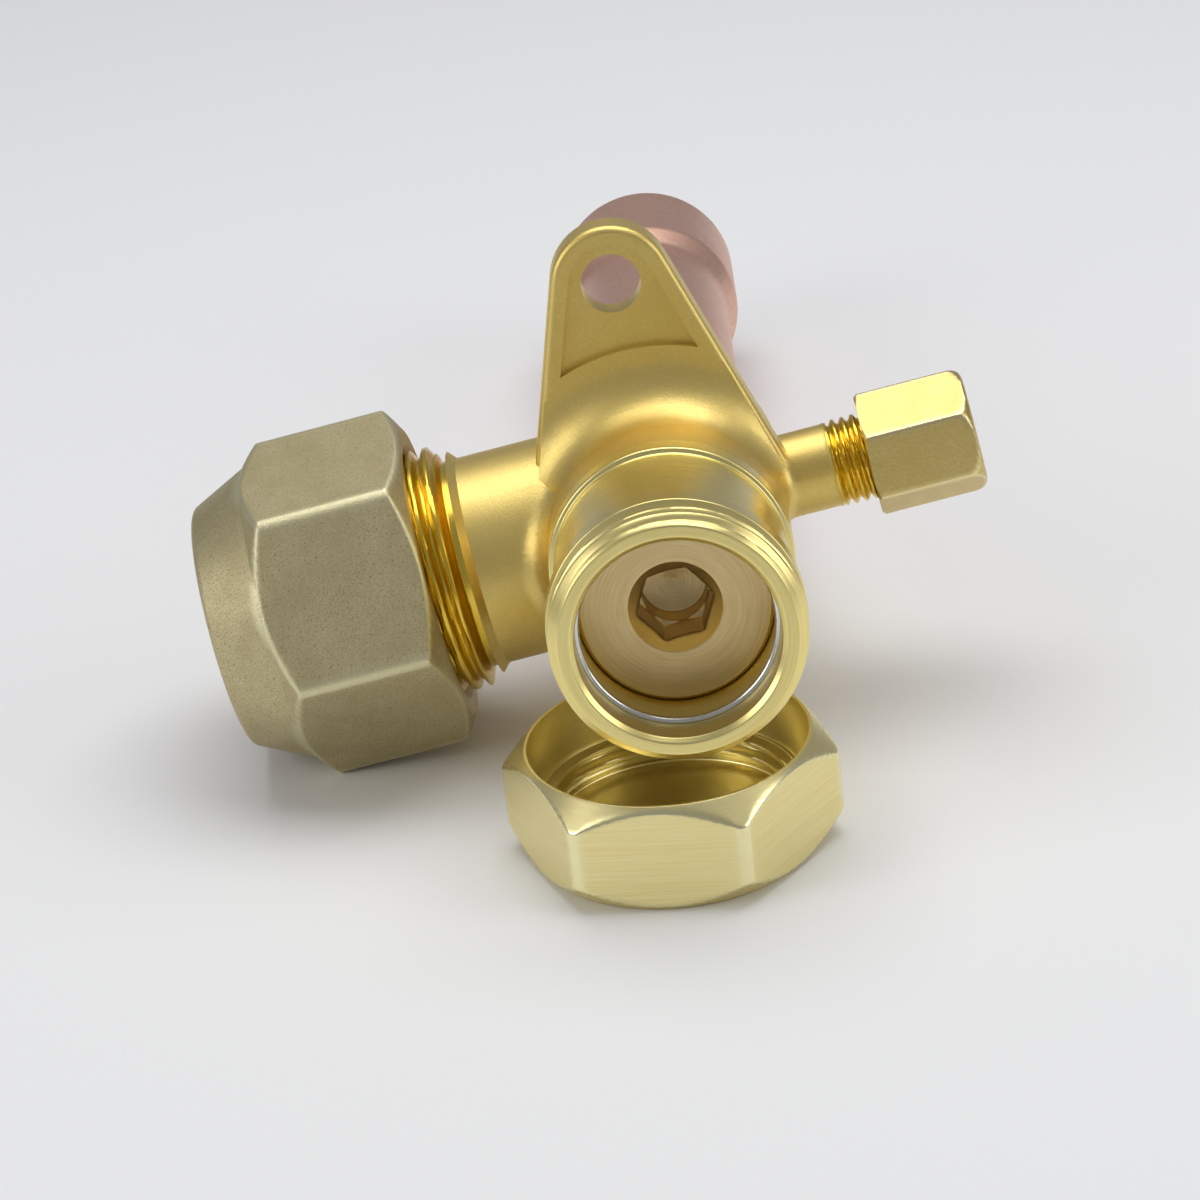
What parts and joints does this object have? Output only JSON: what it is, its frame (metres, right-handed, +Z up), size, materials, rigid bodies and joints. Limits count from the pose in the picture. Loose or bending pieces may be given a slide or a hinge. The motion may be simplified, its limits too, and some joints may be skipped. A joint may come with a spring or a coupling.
{
  "type": "refrigerant service valve",
  "caption": "Brass stop valve for a refrigerant line: screwed stem in an open neck, flare nut, capped charging port, mounting ear and tube stub, resting on its taken-off cap.",
  "frame": {"origin": "centre of the stem cap's closed flat end, on the surface that the valve lies on", "axes": "+Z up; -Y towards the neck's open front, which leans up by about 7 degrees; +Y towards the tube; -X towards the flare nut and +X towards the charging port, which rises by about 9 degrees"},
  "size_m": [0.0997, 0.1704, 0.0665],
  "materials": {
    "forged_brass": "satin",
    "turned_brass": "satin",
    "stem_brass": "satin",
    "nut_brass": "fine blasted",
    "port_cap_brass": "satin",
    "copper": "satin",
    "silver_braze": "satin",
    "spring_steel": "polished",
    "black_rubber": "matte",
    "white_ptfe": "matte"
  },
  "bodies": {
    "valve": {"valve_body": "forged_brass", "retaining_ring": "spring_steel", "copper_tube": "copper", "braze_ring": "silver_braze", "core_plug": "turned_brass", "core_barrel": "turned_brass", "core_gasket": "white_ptfe", "core_spring": "spring_steel", "stem_cap": "turned_brass"},
    "stem_seals": {"stem_o_ring_front": "black_rubber", "stem_o_ring_rear": "black_rubber"},
    "stem": {"valve_stem": "stem_brass"},
    "bonnet": {"flare_bonnet": "copper"},
    "nut": {"flare_nut": "nut_brass"},
    "port_cap_seal": {"charge_cap_seal": "black_rubber"},
    "port_cap": {"charge_cap": "port_cap_brass"},
    "core": {"core_pin": "turned_brass", "core_cup": "turned_brass", "core_cup_seal": "black_rubber"}
  },
  "joints": [
    {"name": "stem_lift", "type": "slide", "parent": "valve", "child": "stem_seals", "axis": [0, -0.9922, 0.1248], "range_m": [-0.003, 0.0063]},
    {"name": "stem_turn", "type": "hinge", "parent": "stem_seals", "child": "stem", "pos_m": [0.0026, 0.03571, 0.02695], "axis": [0, -0.9922, 0.1248], "range_deg": [-721, 1513]},
    {"name": "nut_travel", "type": "slide", "parent": "valve", "child": "bonnet", "axis": [-0.9872, -0.0199, -0.1581], "range_m": [0, 0.01165]},
    {"name": "nut_turn", "type": "hinge", "parent": "bonnet", "child": "nut", "pos_m": [0.0026, 0.03571, 0.02695], "axis": [-0.9872, -0.0199, -0.1581], "range_deg": [0, 1982]},
    {"name": "port_cap_travel", "type": "slide", "parent": "valve", "child": "port_cap_seal", "axis": [0.9872, 0.0199, 0.1581], "range_m": [0, 0.0089]},
    {"name": "port_cap_turn", "type": "hinge", "parent": "port_cap_seal", "child": "port_cap", "pos_m": [0.0026, 0.03769, 0.0267], "axis": [0.9872, 0.0199, 0.1581], "range_deg": [0, 2523]},
    {"name": "core_press", "type": "slide", "parent": "valve", "child": "core", "axis": [-0.9872, -0.0199, -0.1581], "range_m": [0, 0.0015], "stiffness_N_per_m": 1500, "springref_m": -0.003, "deforming": ["core_spring"]}
  ],
  "couplings": [
    {"joint": "stem_turn", "follows": "stem_lift", "rad_per_m": 4188.8},
    {"joint": "nut_turn", "follows": "nut_travel", "rad_per_m": 2968.4},
    {"joint": "port_cap_turn", "follows": "port_cap_travel", "rad_per_m": 4947.4}
  ]
}
